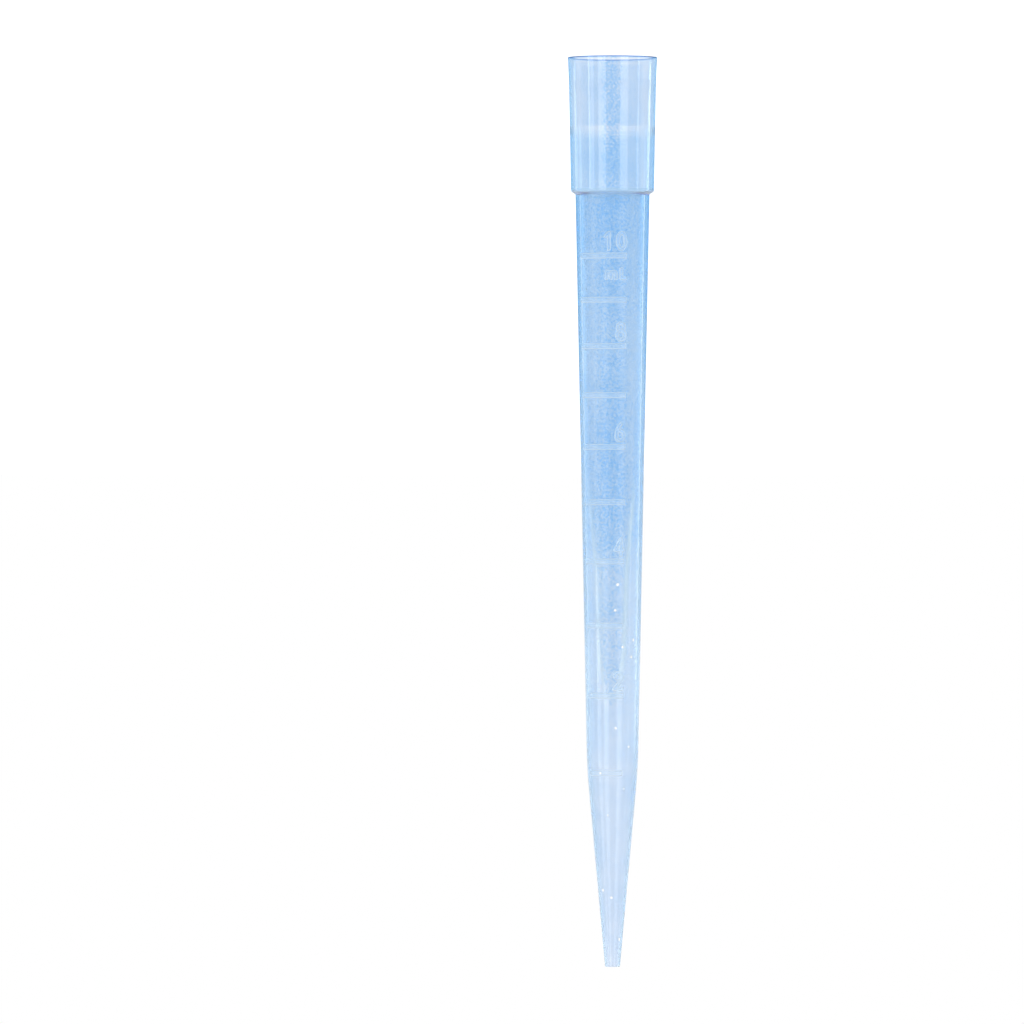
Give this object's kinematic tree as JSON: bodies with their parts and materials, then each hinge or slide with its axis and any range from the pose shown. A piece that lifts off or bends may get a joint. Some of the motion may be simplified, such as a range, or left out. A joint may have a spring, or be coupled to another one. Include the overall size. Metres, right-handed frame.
{
  "type": "pipette tip",
  "caption": "Tapered one-piece pipette tip with a stepped collar for the nozzle, a long body with raised volume graduations and a steeper open point.",
  "frame": {"origin": "centre of the wide rim's face, which the tip stands on", "axes": "+Z along the tip's axis from the rim to the point; the graduations start 24 degrees below +X and go round past -Y"},
  "size_m": [0.0174, 0.0174, 0.1782],
  "materials": {
    "tinted_polypropylene": "translucent blue-tinted polypropylene, satin, a little cloudy"
  },
  "bodies": {
    "root": {"pipette_tip": "tinted_polypropylene"}
  },
  "joints": []
}
